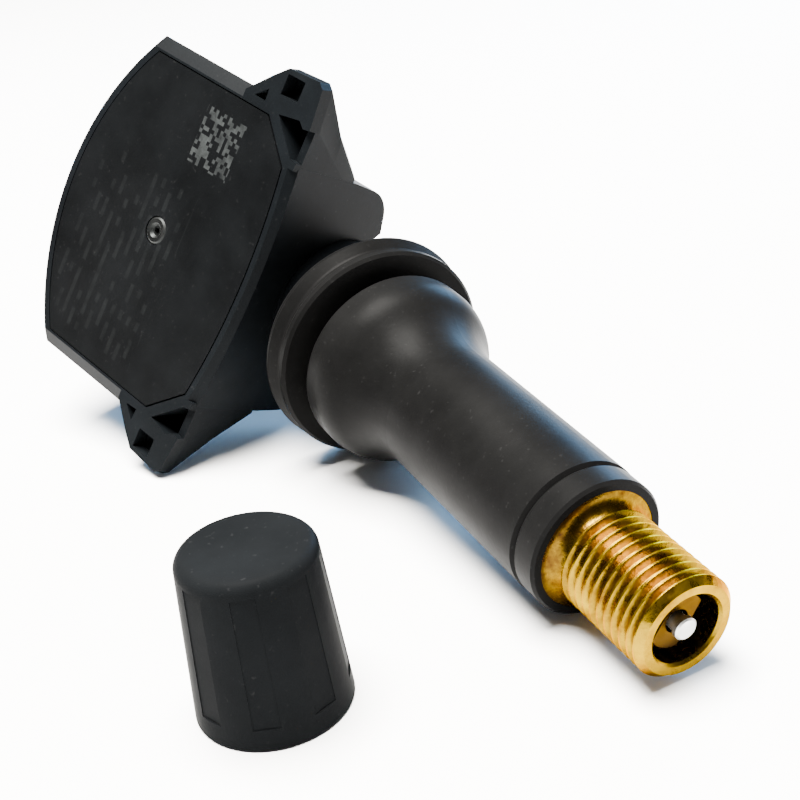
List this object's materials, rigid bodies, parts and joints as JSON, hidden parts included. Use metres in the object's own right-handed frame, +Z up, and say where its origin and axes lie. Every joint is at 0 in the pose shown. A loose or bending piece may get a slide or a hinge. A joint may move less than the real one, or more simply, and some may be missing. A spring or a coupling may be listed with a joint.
{
  "type": "tire pressure monitor",
  "caption": "Wheel tyre pressure sensor: fan-faced plastic housing screwed to a rubber snap-in valve with threaded brass tip, loose fluted cap beside it.",
  "frame": {"origin": "middle of the box on the surface the sensor and its cap lie on", "axes": "+Z up, +Y level from the valve mouth towards the housing, the valve axis rises 7.2 degrees along +Y"},
  "size_m": [0.0378, 0.0744, 0.0345],
  "materials": {
    "shell_plastic": "matt moulded, fine grain",
    "lid_plastic": "satin moulded",
    "port_metal": "turned",
    "seal_rubber": "matt",
    "seal_ring": "satin",
    "stem_rubber": "satin moulded rubber",
    "stem_brass": "machined",
    "screw_steel": "plated",
    "core_brass": "machined",
    "pin_metal": "turned",
    "spring_steel": "drawn wire",
    "board_green": "solder mask",
    "cell_steel": "plated",
    "tab_steel": "plated strip",
    "chip_plastic": "moulded",
    "can_steel": "plated",
    "chip_ceramic": "ceramic",
    "ferrite": "sintered",
    "copper_wire": "enamelled wire",
    "potting_resin": "cast resin",
    "cap_plastic": "matt moulded"
  },
  "bodies": {
    "sensor": {"housing_shell": "shell_plastic", "housing_lid": "lid_plastic", "vent_insert": "port_metal", "port_gasket": "seal_rubber", "rubber_stem": "stem_rubber", "brass_stem": "stem_brass", "stem_screw": "screw_steel", "stem_washer": "screw_steel", "core_nut": "core_brass", "core_barrel": "core_brass", "core_barrel_seal": "seal_ring", "core_spring": "spring_steel", "circuit_board": "board_green", "battery_cell": "cell_steel", "battery_tab_top": "tab_steel", "battery_tab_bottom": "tab_steel", "pressure_chip": "chip_plastic", "controller_chip": "chip_plastic", "crystal_can": "can_steel", "chip_capacitors": "chip_ceramic", "coil_core": "ferrite", "coil_winding": "copper_wire", "antenna_bow": "can_steel", "potting_block": "potting_resin"},
    "valve_pin": {"core_pin": "pin_metal", "core_cup": "core_brass", "core_cup_seal": "seal_rubber"},
    "cap": {"cap_shell": "cap_plastic", "cap_seal": "seal_rubber"}
  },
  "joints": [
    {"name": "valve_pin_press", "type": "slide", "parent": "sensor", "child": "valve_pin", "axis": [0, 0.9921, 0.1256], "range_m": [0, 0.0015], "stiffness_N_per_m": 1200, "springref_m": -0.0015, "deforming": ["core_spring"]},
    {"name": "cap_lift", "type": "slide", "parent": "sensor", "child": "cap", "axis": [0, 0, 1], "range_m": [0, 0.03]}
  ]
}
